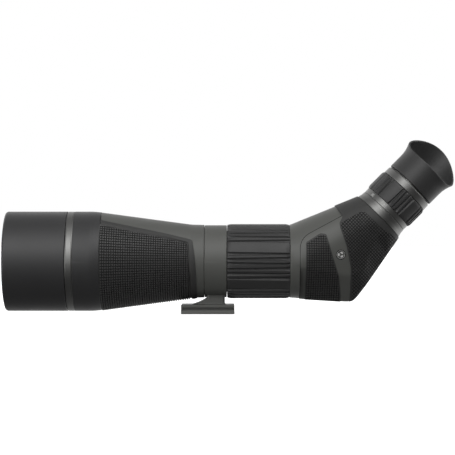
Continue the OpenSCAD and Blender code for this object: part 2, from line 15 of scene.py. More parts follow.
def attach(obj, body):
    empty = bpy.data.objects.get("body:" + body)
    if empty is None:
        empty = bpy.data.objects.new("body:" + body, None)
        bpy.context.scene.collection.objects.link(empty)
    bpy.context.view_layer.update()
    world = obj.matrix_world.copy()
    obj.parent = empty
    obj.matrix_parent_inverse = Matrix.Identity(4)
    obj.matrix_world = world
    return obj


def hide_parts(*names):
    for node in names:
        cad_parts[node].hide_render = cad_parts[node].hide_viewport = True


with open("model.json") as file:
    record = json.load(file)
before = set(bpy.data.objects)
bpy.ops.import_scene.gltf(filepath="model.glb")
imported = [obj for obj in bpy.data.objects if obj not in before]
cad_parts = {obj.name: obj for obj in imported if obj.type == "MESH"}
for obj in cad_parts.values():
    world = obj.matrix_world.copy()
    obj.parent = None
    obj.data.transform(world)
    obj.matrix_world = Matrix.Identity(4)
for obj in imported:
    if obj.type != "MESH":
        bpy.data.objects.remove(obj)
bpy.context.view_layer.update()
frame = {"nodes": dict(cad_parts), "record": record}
scene = bpy.context.scene

MM = 0.001
AXIS_H = 52.2                # height of the main axis above the foot's base
EYE_X = 124.1                # where the eyepiece axis crosses it
WORLD = Matrix.Identity(4)
MAIN = Matrix.Translation((0, 0, AXIS_H * MM)) @ Matrix.Rotation(math.pi / 2, 4, "Y")
EYE = Matrix.Translation((EYE_X * MM, 0, AXIS_H * MM)) @ Matrix.Rotation(math.pi / 4, 4, "Y")

# Stations along the main axis, as X, and radii round it.
SHADE_R = 49.6
TRIM_FRONT, TRIM_REAR, FRONT_RING_REAR = -140.8, -134.1, -107.4
SHELL = ((-107.4, 48.6), (-17.7, 36.6), (-12.0, 36.3), (-5.3, 36.1))
FOCUS_FRONT, FOCUS_REAR, FOCUS_R = 17.5, 79.4, 37.1

# Stations along the eyepiece's axis, from where it crosses the main one.
BASE_START, SCALE_START, GRIP_START, GRIP_END = 62.2, 70.9, 76.7, 98.6
TOP_RING_END, CUP_START, CUP_RIM = 106.3, 107.6, 137.2


# ---------- small tools ----------

def interp(x, table):
    """Value at x along a table of (x, value) pairs, held level past its ends."""
    if x <= table[0][0]:
        return table[0][1]
    for (x0, y0), (x1, y1) in zip(table, table[1:]):
        if x <= x1:
            return y0 + (y1 - y0) * (x - x0) / (x1 - x0)
    return table[-1][1]


def soften(points, radius=0.3, steps=3, closed=True):
    """Rounds the corners of an outline. A point may carry its own radius as a third value."""
    result = []
    count = len(points)
    for i, point in enumerate(points):
        here = Vector(point[:2])
        r = point[2] if len(point) > 2 else radius
        if r == 0 or (not closed and i in (0, count - 1)):
            result.append(tuple(here))
            continue
        back = Vector(points[i - 1][:2]) - here
        ahead = Vector(points[(i + 1) % count][:2]) - here
        angle = back.angle(ahead)
        reach = min(r / math.tan(angle / 2), 0.45 * back.length, 0.45 * ahead.length)
        start, end = here + back.normalized() * reach, here + ahead.normalized() * reach
        for k in range(steps + 1):
            t = k / steps
            result.append(tuple(start * (1 - t) ** 2 + here * 2 * t * (1 - t) + end * t ** 2))
    return result


def subdivided(paths, step):
    """Paths of equally many points, with as many added to each, so that no gap is longer than step."""
    result = [[path[0]] for path in paths]
    for i in range(1, len(paths[0])):
        n = math.ceil(max(math.dist(path[i - 1], path[i]) for path in paths) / step)
        for path, made in zip(paths, result):
            a, b = Vector(path[i - 1]), Vector(path[i])
            made += [tuple(a.lerp(b, k / n)) for k in range(1, n + 1)]
    return result


def clip(polygon, region):
    """The part of a polygon that lies inside a convex region given anticlockwise."""
    for a, b in zip(region, region[1:] + region[:1]):
        inside = [(b[0] - a[0]) * (p[1] - a[1]) - (b[1] - a[1]) * (p[0] - a[0]) for p in polygon]
        kept = []
        for i, p in enumerate(polygon):
            q, dp, dq = polygon[i - 1], inside[i], inside[i - 1]
            if (dp >= 0) != (dq >= 0):
                t = dq / (dq - dp)
                kept.append((q[0] + (p[0] - q[0]) * t, q[1] + (p[1] - q[1]) * t))
            if dp >= 0:
                kept.append(p)
        polygon = kept
        if len(polygon) < 3:
            return []
    return polygon


def area(polygon):
    return 0.5 * sum(p[0] * q[1] - q[0] * p[1] for p, q in zip(polygon, polygon[1:] + polygon[:1]))


class Mesh:
    """Collects points in millimetres and faces, and turns them into one object."""

    def __init__(self):
        self.points, self.faces = [], []

    def add(self, points, faces):
        base = len(self.points)
        self.points += [tuple(p) for p in points]
        self.faces += [[base + i for i in face] for face in faces]

    def skin(self, rings, around=True, along=False, caps=False):
        """Faces between rings of equally many points.

        around closes each ring, and along joins the last ring to the first."""
        n, m = len(rings[0]), len(rings)
        faces = []
        for i in range(m if along else m - 1):
            for k in range(n if around else n - 1):
                a, b, j = i * n, (i + 1) % m * n, (k + 1) % n
                faces.append((a + k, b + k, b + j, a + j))
        if caps:
            faces += [tuple(range(n)), tuple((m - 1) * n + k for k in range(n))]
        self.add([p for ring in rings for p in ring], faces)

    def build(self, name, place=WORLD, sharp=34):
        mesh = bpy.data.meshes.new(name)
        mesh.from_pydata([Vector(p) * MM for p in self.points], [], self.faces)
        bm = bmesh.new()
        bm.from_mesh(mesh)
        bmesh.ops.remove_doubles(bm, verts=bm.verts, dist=2e-7)
        bmesh.ops.recalc_face_normals(bm, faces=bm.faces)
        finish_edges(bm, sharp)
        bm.to_mesh(mesh)
        bm.free()
        return link(name, mesh, place)


def finish_edges(bm, sharp):
    for face in bm.faces:
        face.smooth = True
    limit = math.radians(sharp)
    for edge in bm.edges:
        edge.smooth = len(edge.link_faces) == 2 and edge.calc_face_angle(0) < limit


def link(name, mesh, place=WORLD):
    obj = bpy.data.objects.new(name, mesh)
    scene.collection.objects.link(obj)
    obj.matrix_world = place
    return obj


def weigh_normals(obj):
    normals = obj.modifiers.new("normals", "WEIGHTED_NORMAL")
    normals.keep_sharp = True


def turned(outline, segments=192, shape=None):
    """A closed outline of (radius, height) turned round local Z. shape(angle, r, h) may move each point."""
    mesh = Mesh()
    rings = []
    for i in range(segments):
        a = math.tau * i / segments
        row = [shape(a, r, h) if shape else (r, h) for r, h in outline]
        rings.append([(r * math.cos(a), r * math.sin(a), h) for r, h in row])
    mesh.skin(rings, along=True)
    return mesh


def add(obj, body, slot, *nodes, finish=None):
    """Gives a piece its finish and its body, and hides the CAD nodes that it stands for."""
    weigh_normals(obj)
    obj.data.materials.append(materials[finish or slot])
    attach(obj, body)
    if nodes:
        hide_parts(*nodes)
    return obj


# ---------- materials ----------

def node(tree, kind, values=None, **settings):
    """A shader node. values maps an input's name or number to a constant or to another node's output."""
    made = tree.nodes.new(kind)
    for key, value in settings.items():
        setattr(made, key, value)
    for key, value in (values or {}).items():
        if isinstance(value, bpy.types.NodeSocket):
            tree.links.new(value, made.inputs[key])
        else:
            made.inputs[key].default_value = value
    return made


def ramp(tree, factor, stops):
    made = node(tree, "ShaderNodeValToRGB", {"Fac": factor})
    points = made.color_ramp.elements
    while len(points) < len(stops):
        points.new(0.5)
    for point, (position, colour) in zip(points, stops):
        point.position = position
        point.color = (*colour, 1) if isinstance(colour, tuple) else (colour, colour, colour, 1)
    return made.outputs["Color"]


def spread(tree, source, low, high):
    mapped = node(tree, "ShaderNodeMapRange", {"Value": source, "To Min": low, "To Max": high})
    return mapped.outputs["Result"]


def painted(name, dark, light, rough, grain_mm, relief, metallic=0.0, wear=None, lines=None, **constants):
    """A surface with mottled colour, uneven gloss and moulded or sprayed grain.

    wear is the colour that shows through at edges, and lines the pitch of turning marks round local Z."""
    made = bpy.data.materials.new(name)
    made.use_nodes = True
    tree = made.node_tree
    shader = tree.nodes["Principled BSDF"]
    place = node(tree, "ShaderNodeTexCoord").outputs["Object"]
    cloud = node(tree, "ShaderNodeTexNoise",
                 {"Vector": place, "Scale": 38.0, "Detail": 5.0, "Roughness": 0.6})
    speck = node(tree, "ShaderNodeTexNoise",
                 {"Vector": place, "Scale": 1 / (grain_mm * MM), "Detail": 3.0, "Roughness": 0.55})
    mottle = node(tree, "ShaderNodeMath", {0: cloud.outputs["Fac"], 1: speck.outputs["Fac"]},
                  operation="ADD")
    colour = ramp(tree, spread(tree, mottle.outputs[0], -0.55, 0.95), [(0.1, dark), (0.6, light)])
    if wear:
        edge = ramp(tree, node(tree, "ShaderNodeNewGeometry").outputs["Pointiness"],
                    [(0.52, 0.0), (0.6, 0.55)])
        rubbed = node(tree, "ShaderNodeMath", {0: edge, 1: cloud.outputs["Fac"]}, operation="MULTIPLY")
        colour = mix_colour(tree, rubbed.outputs[0], colour, wear)
    tree.links.new(colour, shader.inputs["Base Color"])
    tree.links.new(spread(tree, cloud.outputs["Fac"], rough - 0.09, rough + 0.09),
                   shader.inputs["Roughness"])
    bump = node(tree, "ShaderNodeBump", {"Height": speck.outputs["Fac"], "Strength": relief,
                                         "Distance": 0.0002})
    if lines:
        flat = node(tree, "ShaderNodeMapping", {"Vector": place, "Scale": (0.6, 0.6, 1 / (lines * MM))})
        turning = node(tree, "ShaderNodeTexNoise", {"Vector": flat.outputs[0], "Scale": 1.0, "Detail": 2.0})
        bump = node(tree, "ShaderNodeBump", {"Height": turning.outputs["Fac"], "Strength": 0.22,
                                             "Distance": 0.0001, "Normal": bump.outputs["Normal"]})
    tree.links.new(bump.outputs["Normal"], shader.inputs["Normal"])
    shader.inputs["Metallic"].default_value = metallic
    for key, value in constants.items():
        shader.inputs[key.replace("_", " ")].default_value = value
    return made


def mix_colour(tree, factor, first, second):
    made = tree.nodes.new("ShaderNodeMix")
    made.data_type = "RGBA"
    tree.links.new(factor, made.inputs[0])
    tree.links.new(first, made.inputs[6])
    made.inputs[7].default_value = (*second, 1)
    return made.outputs[2]


def coated_glass(name, tint, reflection):
    """Clear glass whose coating reflects one colour and whose surface holds the faintest haze."""
    made = bpy.data.materials.new(name)
    made.use_nodes = True
    tree = made.node_tree
    shader = tree.nodes["Principled BSDF"]
    place = node(tree, "ShaderNodeTexCoord").outputs["Object"]
    haze = node(tree, "ShaderNodeTexNoise", {"Vector": place, "Scale": 60.0, "Detail": 4.0})
    tree.links.new(spread(tree, haze.outputs["Fac"], 0.0, 0.03), shader.inputs["Roughness"])
    tree.links.new(ramp(tree, haze.outputs["Fac"], [(0.3, tint), (0.7, tuple(c * 0.97 for c in tint))]),
                   shader.inputs["Base Color"])
    shader.inputs["Transmission Weight"].default_value = 1.0
    shader.inputs["IOR"].default_value = 1.52
    shader.inputs["Specular Tint"].default_value = (*reflection, 1)
    return made


# Dark and light colour, roughness, grain in millimetres and relief, then further settings.
FINISHES = {
    "shell_grey": ((0.070, 0.072, 0.066), (0.094, 0.096, 0.089), 0.42, 0.55, 0.18,
                   {"wear": (0.16, 0.16, 0.15)}),
    "shade_black": ((0.021, 0.021, 0.022), (0.032, 0.032, 0.033), 0.40, 0.5, 0.16,
                    {"wear": (0.09, 0.09, 0.09)}),
    "armour_rubber": ((0.021, 0.021, 0.020), (0.033, 0.033, 0.032), 0.56, 0.4, 0.35, {}),
    # The next two are lighter copies of the rubber above, for the tops of the raised squares: painted
    # highlight.
    "armour_painted_highlight": ((0.038, 0.038, 0.037), (0.057, 0.057, 0.056), 0.50, 0.4, 0.2, {}),
    "armour_fine_painted_highlight": ((0.026, 0.026, 0.025), (0.040, 0.040, 0.039), 0.52, 0.4, 0.2, {}),
    # Near black: painted shade on the floors between raised squares and round the cheek's edge, and the badge
    # dish's own black.
    "black_and_painted_shade": ((0.003, 0.003, 0.003), (0.005, 0.005, 0.005), 0.8, 0.4, 0.2, {}),
    "grip_rubber": ((0.022, 0.022, 0.022), (0.035, 0.035, 0.035), 0.45, 0.4, 0.3, {}),
    "trim_metal": ((0.165, 0.165, 0.162), (0.215, 0.215, 0.21), 0.34, 0.3, 0.08,
                   {"metallic": 1.0, "lines": 0.12, "Anisotropic": 0.4}),
    "badge_silver": ((0.42, 0.42, 0.41), (0.55, 0.55, 0.54), 0.36, 0.3, 0.08, {}),
    "black_anodised": ((0.012, 0.012, 0.013), (0.022, 0.022, 0.023), 0.38, 0.3, 0.1, {"metallic": 0.3}),
    "black_plastic": ((0.019, 0.019, 0.020), (0.030, 0.030, 0.031), 0.42, 0.45, 0.2, {}),
    "nylon": ((0.66, 0.65, 0.60), (0.78, 0.77, 0.72), 0.5, 0.6, 0.1, {"Subsurface_Weight": 0.1}),
    "steel": ((0.48, 0.48, 0.49), (0.62, 0.62, 0.63), 0.3, 0.3, 0.08, {"metallic": 1.0}),
    "brass": ((0.60, 0.43, 0.19), (0.74, 0.56, 0.28), 0.32, 0.3, 0.08, {"metallic": 1.0}),
}
materials = {name: painted(name, *values, **extra) for name, (*values, extra) in FINISHES.items()}
materials["glass"] = coated_glass("glass", (0.93, 0.98, 0.96), (0.35, 0.95, 0.62))
for part in frame["record"]["subparts"]:
    cad_mesh = frame["nodes"][part["node"]].data
    cad_mesh.materials.clear()
    cad_mesh.materials.append(materials[part["material_slot"]])


# ---------- objective end ----------

def sunshade():
    """Hood with a rounded lip, a shallow turned step behind it and light-trapping ridges inside."""
    front, rear, bore = -202.7, TRIM_FRONT - 0.3, 47.9
    outside = [(bore, front + 1.2, 0.2), (bore + 0.6, front + 0.2, 0.3), (SHADE_R - 0.9, front, 0.5),
               (SHADE_R, front + 1.5, 0.9), (SHADE_R, rear - 0.7, 0.3), (SHADE_R - 0.9, rear, 0.1),
               (46.9, rear, 0.1), (46.9, rear - 3, 0.1), (bore, rear - 3.6, 0.1)]
    ridges = []
    pitch, count = 1.25, 34
    for i in range(count):
        h = rear - 6 - pitch * i
        ridges += [(bore, h), (bore + 0.45, h - pitch * 0.3), (bore, h - pitch * 0.95)]
    obj = turned(soften(outside) + ridges, 224).build("sunshade", MAIN)
    add(obj, "shade", "shade_black", "sunshade")


def trim_ring():
    """Plain turned ring with a fine groove near each edge."""
    r, a, b = SHADE_R - 0.1, TRIM_FRONT, TRIM_REAR
    outline = [(46.65, a, 0), (r - 0.1, a, 0.25)]
    for groove in (a + 0.9, b - 0.9):
        outline += [(r, groove - 0.16, 0.04), (r - 0.22, groove, 0.04), (r, groove + 0.16, 0.04)]
    outline += [(r - 0.1, b, 0.25), (46.65, b, 0)]
    add(turned(soften(outline), 224).build("trim_ring", MAIN), "scope", "trim_metal", "trim_ring")


def front_ring():
    outline = soften([(48.05, TRIM_REAR + 0.1, 0.1), (SHADE_R, TRIM_REAR + 0.1, 0.35), (SHADE_R, -117, 3),
                      (49.4, -113.5, 4), (48.9, -108.1, 0.6), (48.5, FRONT_RING_REAR, 0.2),
                      (48.05, FRONT_RING_REAR, 0.1)])
    add(turned(outline, 224).build("front_ring", MAIN), "scope", "shade_black", "front_ring")


def barrel_shell():
    """Grey casting: a long taper, a soft waist and the seat of the collar."""
    outline = soften([(48.0, TRIM_REAR + 0.2, 0), (48.0, FRONT_RING_REAR, 0),
                      (48.6, FRONT_RING_REAR + 0.05, 0.25), (36.6, -17.7, 30), (36.3, -5.35, 0.5),
                      (32.9, -5.3, 0), (32.9, 17.2, 0), (30.55, 17.2, 0), (30.55, -3, 0), (28.5, -3, 0),
                      (28.5, -6, 0), (32.0, -8.5, 0), (34.1, -17.7, 0), (45.6, -100, 0), (45.6, -107, 0),
                      (43.2, -109.5, 0), (43.2, -111.9, 0), (46.65, -111.9, 0),
                      (46.65, TRIM_REAR + 0.2, 0)], steps=6)
    add(turned(outline, 224).build("barrel_shell", MAIN), "scope", "shell_grey", "barrel_shell")


ARC = 0.75                   # millimetres of arc for each degree, at the pad's mean radius
PAD_PITCH = 2.27             # of the raised squares along the scope
PAD_TURN = 10 / 3 * ARC      # and round it, as an arc
PAD_FILL = 0.34              # from a square's middle to its edge, as a share of the pitch
PAD_TOP = ((-107.4, 0.85), (-60.0, 0.95), (-29.7, 1.1), (-17.7, 1.3), (-12.0, 0.95))


def barrel_point(x, arc, share):
    """A point on the taper, at an arc up from the near side's level line and a share of the pad's height."""
    r = interp(x, SHELL) + share * interp(x, PAD_TOP)
    a = math.radians(arc / ARC)
    return (x, -r * math.cos(a), AXIS_H + r * math.sin(a))


def mirrored(path):
    """A near-side path from the top to the belly, carried on up the far side."""
    return path + [(x, -180 * ARC - s) for x, s in reversed(path)][1:]


def pad_outlines():
    """The outer and the inner edge of the rubber pad's border, as paths of (X, arc)."""
    outer = [(-107.2, 70), (-106.9, 57.2, 3.2), (-57, 47.0, 40), (-39, 42.6, 40), (-17.0, 35.8, 4.5),
             (-14.4, 8, 20), (-12.9, -24, 30), (-12.6, -60), (-12.6, -90)]
    inner = [(-107.2, 50), (-107.0, 48.5, 0.2), (-57, 38.4, 40), (-39, 34.2, 40), (-22.2, 28.9, 2.6),
             (-20.7, 5, 20), (-19.2, -24, 30), (-18.8, -60), (-18.8, -90)]
    outer, inner = ([(p[0], p[1] * ARC, *p[2:]) for p in path] for path in (outer, inner))
    return subdivided([mirrored(soften(path, 3, 6, closed=False)) for path in (outer, inner)], 1.5)


def pad_border(outer, inner):
    mesh = Mesh()
    section = ((0.0, -0.4), (0.0, 0.40), (0.03, 0.70), (0.08, 0.88), (0.20, 0.97), (0.45, 1.02),
               (0.66, 1.0), (0.74, 0.92), (0.90, 0.12), (1.0, 0.03), (1.0, -0.4))
    rings = [[barrel_point(p[0] + (q[0] - p[0]) * t, p[1] + (q[1] - p[1]) * t, h)
              for p, q in zip(outer, inner)] for t, h in section]
    mesh.skin(rings, around=False, along=True)
    return mesh


def pad_floor(outer, inner):
    """Ground under the squares, painted near black as the shade between them, from the middle of the border
    on one side to that on the other.
    """
    middle = [((p[0] + q[0]) / 2, (p[1] + q[1]) / 2) for p, q in zip(outer, inner)]
    top = sorted(p for p in middle[:len(middle) // 2] if p[0] < -19 and p[1] > 10)
    rows = []
    for i in range(45):
        x = -107.2 + 2 * i
        start = min(interp(x, top), 47 * ARC)
        end = -180 * ARC - start
        rows.append([barrel_point(x, start + (end - start) * k / 180, 0.04) for k in range(181)])
    mesh = Mesh()
    mesh.skin(rows, around=False)
    return mesh


def pad_squares(outer, inner):
    region = [(p[0] + (q[0] - p[0]) * 1.1, p[1] + (q[1] - p[1]) * 1.1) for p, q in zip(outer, inner)]
    mesh = Mesh()
    for i in range(40):
        for k in range(-44, 45):
            cell = square(-106.0 + PAD_PITCH * i, -90 * ARC + PAD_TURN * k, PAD_PITCH, PAD_TURN)
            cell = trimmed(cell, region)
            if cell and abs(area(cell)) > 0.4:
                add_pad(mesh, cell, lambda p, share: barrel_point(p[0], p[1], share), -0.1, 0.85)
    return mesh


def barrel_armour():
    """Rubber pad round the belly: a border swept along its outline, and rows of raised squares inside it."""
    outer, inner = pad_outlines()
    border = pad_border(outer, inner).build("barrel_armour")
    add(border, "scope", "armour_rubber", "barrel_armour")
    # The floor between the squares is painted near black: painted shade.
    ground = pad_floor(outer, inner).build("barrel_armour_floor")
    add(ground, "scope", "armour_rubber", finish="black_and_painted_shade")
    # The squares are painted lighter than the border: painted highlight.
    squares = pad_squares(outer, inner).build("barrel_armour_squares")
    add(squares, "scope", "armour_rubber", finish="armour_painted_highlight")


def square(x, y, pitch_x, pitch_y):
    a, b = pitch_x * PAD_FILL, pitch_y * PAD_FILL
    return [(x - a, y - b), (x + a, y - b), (x + a, y + b), (x - a, y + b)]


def trimmed(cell, region):
    """The part of a convex cell that lies inside a region of any shape."""
    return cell if all(inside(region, *p) for p in cell) else clip(region, cell)


def add_pad(mesh, cell, place, low, high, slope=0.12):
    """One raised block: its foot, a sloped wall and its top. place(point, height) puts it on a surface."""
    middle = sum((Vector(p) for p in cell), Vector((0, 0))) / len(cell)
    top = [tuple(Vector(p) + (middle - Vector(p)) * slope) for p in cell]
    n = len(cell)
    walls = [(k, (k + 1) % n, n + (k + 1) % n, n + k) for k in range(n)]
    mesh.add([place(p, low) for p in cell] + [place(p, high) for p in top],
             walls + [tuple(range(n, 2 * n)), tuple(reversed(range(n)))])


def front_lens():
    """Objective element with a ground rim and smooth faces."""
    face = [(44.15 * i / 24, -193.8 + 4.6 * (i / 24) ** 2) for i in range(25)]
    back = [(44.15 * i / 24, -181.2 - 3.6 * (i / 24) ** 2) for i in range(24, -1, -1)]
    add(turned(face + back, 160).build("objective_front_lens", MAIN), "scope", "glass",
        "objective_front_lens")


# ---------- collar and foot ----------

def rounded_box(x0, x1, y, corner, z, steps=6):
    """A ring of points: a rectangle in plan with round corners."""
    corner = min(corner, y, (x1 - x0) / 2)
    ring = []
    for cx, cy, start in ((x1 - corner, y - corner, 0), (x0 + corner, y - corner, 90),
                          (x0 + corner, -y + corner, 180), (x1 - corner, -y + corner, 270)):
        for k in range(steps + 1):
            a = math.radians(start + 90 * k / steps)
            ring.append((cx + corner * math.cos(a), cy + corner * math.sin(a), z))
    return ring


def carve(obj, *cutters):
    """Cuts other objects away from obj and removes them."""
    for cutter in cutters:
        modifier = obj.modifiers.new("cut", "BOOLEAN")
        modifier.operation, modifier.object, modifier.solver = "DIFFERENCE", cutter, "EXACT"
    bpy.context.view_layer.update()
    mesh = bpy.data.meshes.new_from_object(obj.evaluated_get(bpy.context.evaluated_depsgraph_get()))
    obj.modifiers.clear()
    obj.data = mesh
    for cutter in cutters:
        bpy.data.objects.remove(cutter)
    bm = bmesh.new()
    bm.from_mesh(mesh)
    finish_edges(bm, 34)
    bm.to_mesh(mesh)
    bm.free()
    return obj


def rod(r, h0, h1, place, segments=64):
    mesh = Mesh()
    mesh.skin([[(r * math.cos(math.tau * k / segments), r * math.sin(math.tau * k / segments), h)
                for k in range(segments)] for h in (h0, h1)], caps=True)
    return mesh.build("cutter", place)


def collar():
    r, a, b = 36.0, -5.0, 17.1
    outline = soften([(33.6, a, 0.1), (r, a, 0.55), (r, b, 0.9), (33.6, b, 0.1)])
    ring = turned(outline, 192).build("collar_ring", MAIN)
    add(ring, "mount", "shell_grey", "mount_collar")


def pedestal():
    """Column between collar and foot, with a long curved toe in front and small fillets at its root."""
    mesh = Mesh()
    rings = [rounded_box(-24, 16.6, 14.8, 2, 8.2)]
    for k in range(1, 15):
        t = k / 14
        z = 8.8 + 7 * t ** 1.9
        root = max(0, 10.6 - z) ** 1.6
        rings.append(rounded_box(-24 + 21 * t, 15.2 + 0.6 * root, 13 + 0.8 * root, 2.4, z))
    for z, half in ((17.5, 13.1), (19.5, 13.8), (22.5, 16)):
        rings.append(rounded_box(-3, 15.2, half, 2.4, z))
    mesh.skin(rings, caps=True)
    obj = mesh.build("pedestal", sharp=50)
    carve(obj, rod(33.8, -40, 60, MAIN, 160))
    add(obj, "mount", "shell_grey")


def foot():
    """Dovetail foot with a grooved side, a thread and a pin hole."""
    half, top = 19.0, 9.3
    side = [(half, 0, 0.5), (half, 0.75, 0.3), (half - 0.35, 3.9, 0.3), (half - 3.3, 4.2, 0.2),
            (half - 3.3, 6.3, 0.2), (half, 6.6, 0.3), (half + 0.2, top, 0.5)]
    outline = soften(side + [(-y, z, r) for y, z, r in reversed(side)], 0.3)
    front, rear = -28.3, 24.7
    mesh = Mesh()
    rings = []
    for x, inset in ((front, 0.6), (front + 0.2, 0.2), (front + 0.6, 0), (rear - 0.6, 0),
                     (rear - 0.2, 0.2), (rear, 0.6)):
        rings.append([(x, y - math.copysign(inset, y), z + (inset if z < 1 else -inset if z > 8.4 else 0))
                      for y, z in outline])
    mesh.skin(rings, caps=True)
    obj = mesh.build("foot")
    carve(obj, rod(4.8, -2, 9.0, WORLD), rod(2.3, -2, 6.0, Matrix.Translation((-14 * MM, 0, 0))))
    add(obj, "mount", "shell_grey")


def lock_boss():
    place = Matrix.Translation((6 * MM, 0, AXIS_H * MM)) @ Matrix.Rotation(-math.pi / 2, 4, "X")
    outline = soften([(3.1, 33.9, 0), (10.5, 33.9, 0), (9.6, 35.8, 1.6), (9.0, 38.5, 2),
                      (9.0, 45, 0.5), (3.1, 45, 0.2)])
    add(turned(outline, 96).build("lock_boss", place), "mount", "shell_grey")

    def ribs(a, r, h):
        wave = 0.5 + 0.5 * math.cos(12 * a)
        return (r - 0.9 * wave ** 1.5, h) if r > 9.5 and 49 < h < 58.6 else (r, h)

    knob = soften([(3.05, 46.2, 0), (7, 46.2, 0.3), (7, 48.6, 0.6), (10.4, 48.9, 0.6), (11, 49.8, 0.3),
                   (11, 50.2, 0), (11, 57.6, 0), (11, 58.1, 0.3), (9.6, 59.1, 0.8), (6.5, 59.1, 0.3),
                   (6.2, 58.5, 0.3), (0, 58.5, 0), (0, 53.5, 0), (3.05, 53.5, 0)])
    add(turned(knob, 192, ribs).build("lock_knob", place), "lock_handle", "black_plastic", "lock_knob")


# ---------- ribbed grips ----------

def groove(middle, half, wall, surface, bottom, per_mm):
    """One groove's points as (degrees, radius). half is half its width, wall the run of each side."""
    offsets = ((-half - wall, surface), (-half, bottom + 0.25), (-half * 0.5, bottom),
               (half * 0.5, bottom), (half, bottom + 0.25), (half + wall, surface))
    return [(middle + offset * per_mm, r) for offset, r in offsets]


def fluted(name, place, r_out, r_in, a, b, taper, group, pitch, start, wide, narrow, depth):
    """A rubber grip with six groups of grooves, each wide at one end and narrow at the other by turns.

    start is the angle of the first group's middle, group the number of grooves in each."""
    rows = [a, a + 0.25, a + 0.7, a + taper * 0.45, a + taper, a + taper + 1.2]
    rows += [a + (b - a) * t for t in (0.3, 0.4, 0.5, 0.6, 0.7)] + [b - (h - a) for h in reversed(rows)]
    wall = 0.95
    per_mm = 180 / math.pi / r_out
    mesh = Mesh()
    rings = []
    for h in rows:
        t = (h - a) / (b - a)
        near_end = min(h - a, b - h)
        surface = r_out - 0.9 * max(0, 1 - near_end / taper) ** 1.4
        if near_end < 0.05:
            surface -= 0.25
        bottom = surface - depth * min(1, 0.55 + near_end / 4)
        ring = []
        for g in range(6):
            centre = start + 60 * g
            for k in range(group):
                middle = centre + pitch * (k - (group - 1) / 2)
                opening = t if k % 2 else 1 - t
                half = narrow + (wide - narrow) * opening
                end = (h - a) if k % 2 == 0 else (b - h)
                half += max(0, 3.6 - end) * 0.16
                ring += groove(middle, half, wall, surface, bottom, per_mm)
            edge = pitch * group / 2
            for k in range(1, 9):
                ring.append((centre + edge + (60 - 2 * edge) * k / 9, surface))
        rings.append([(r * math.cos(math.radians(q)), r * math.sin(math.radians(q)), h) for q, r in ring])
    angles = [math.atan2(p[1], p[0]) for p in rings[0]]
    for h in (b, a):
        rings.append([(r_in * math.cos(q), r_in * math.sin(q), h) for q in angles])
    mesh.skin(rings, along=True)
    return mesh.build(name, place, sharp=28)


def grips():
    focus = fluted("focus_grip", MAIN, FOCUS_R, 33.6, FOCUS_FRONT, FOCUS_REAR, taper=3.4, group=6,
                   pitch=7.8, start=-90 + 7.2, wide=1.05, narrow=0.15, depth=1.5)
    add(focus, "focus_ring", "grip_rubber", "focus_grip")
    zoom = fluted("zoom_grip", EYE, 28.25, 25.6, GRIP_START, GRIP_END, taper=2.6, group=4,
                  pitch=9.6, start=-90 + 8.4, wide=0.85, narrow=0.2, depth=1.25)
    add(zoom, "zoom_ring", "grip_rubber", "zoom_grip")


# ---------- prism housing ----------

HINGE = Vector((80.0, 184.0))    # in the X-Z plane: section planes fan out from here
SECTIONS, SPOKES = 66, 168
FLANGE_REAR = 88.8               # the round flange ends here, and the slanted lower flanks begin
# The lower flanks, by the section's angle: the lean of their normal from straight down, and their distance.
FLANK_LEAN = ((0, 43), (20, 50), (30, 52), (45, 55))
FLANK_D = ((0, 28.0), (10, 28.6), (18, 31.2), (22, 32.8), (25, 33.2), (27, 32.2), (31, 28.0), (38, 25.6),
           (45, 31.0))


def flank_limit(turn, a):
    """How far out the slanted lower flank lets a section reach, at an angle of a from straight down."""
    away = abs(math.remainder(a, math.tau)) - math.radians(interp(turn, FLANK_LEAN))
    return interp(turn, FLANK_D) / math.cos(away) if abs(away) < 1.5 else 1000


# The sides stand proud of the envelope in a band: by how much, and its middle and width in radians.
SWELL, SWELL_AT, SWELL_WIDTH = 1.9, 1.62, 0.5
PANEL_LIFT, SQUARE_LIFT = 0.95, 0.5      # of the rubber panels off the casting, and of their squares off them


def housing_hull():
    """Convex envelope of the ring at the focus grip, the ring at the eyepiece and the rounded heel."""
    bm = bmesh.new()
    for k in range(180):
        a = math.tau * k / 180
        for x in (80, 87):
            bm.verts.new((x, 36.4 * math.cos(a), AXIS_H + 36.4 * math.sin(a)))
        for s in (59.2, 62.2):
            p = EYE.to_3x3() @ Vector((28.35 * math.cos(a), 28.35 * math.sin(a), s))
            bm.verts.new(p + Vector((EYE_X, 0, AXIS_H)))
    for y in (-15, 15):
        for i in range(1, 18):
            for k in range(36):
                t, a = math.pi * i / 18, math.tau * k / 36
                bm.verts.new((138.5 + 8.3 * math.sin(t) * math.cos(a), y + 8.3 * math.sin(t) * math.sin(a),
                              20.5 + 8.3 * math.cos(t)))
    bmesh.ops.convex_hull(bm, input=bm.verts)
    tree = BVHTree.FromBMesh(bm)
    bm.free()
    return tree


# From the hinge to the middle of the first section and of the last, and how much farther in between.
REACH_FIRST, REACH_LAST, REACH_BULGE = 131.8, 124.4, 9


def housing_section(hull, i):
    """One section of the envelope: its centre, the way down in its plane, and its radii from there round."""
    turn = 45 * i / SECTIONS
    t = math.radians(turn)
    down = Vector((math.sin(t), 0, -math.cos(t)))
    reach = REACH_FIRST + (REACH_LAST - REACH_FIRST) * i / SECTIONS \
        + REACH_BULGE * math.sin(math.pi * i / SECTIONS)
    centre = Vector((HINGE.x, 0, HINGE.y)) + down * reach
    share = min(1, max(0, i - 3) / 8) * min(1, (SECTIONS - i) / 30)
    row = []
    for k in range(SPOKES):
        a = math.tau * k / SPOKES
        hit = hull.ray_cast(centre, down * math.cos(a) + Vector((0, math.sin(a), 0)))
        off = (abs(math.remainder(a, math.tau)) - SWELL_AT) / SWELL_WIDTH
        swell = SWELL * math.exp(-off ** 2) * share
        row.append(min((hit[3] if hit[0] else row[-1]) + swell, flank_limit(turn, a)))
    return centre, down, row


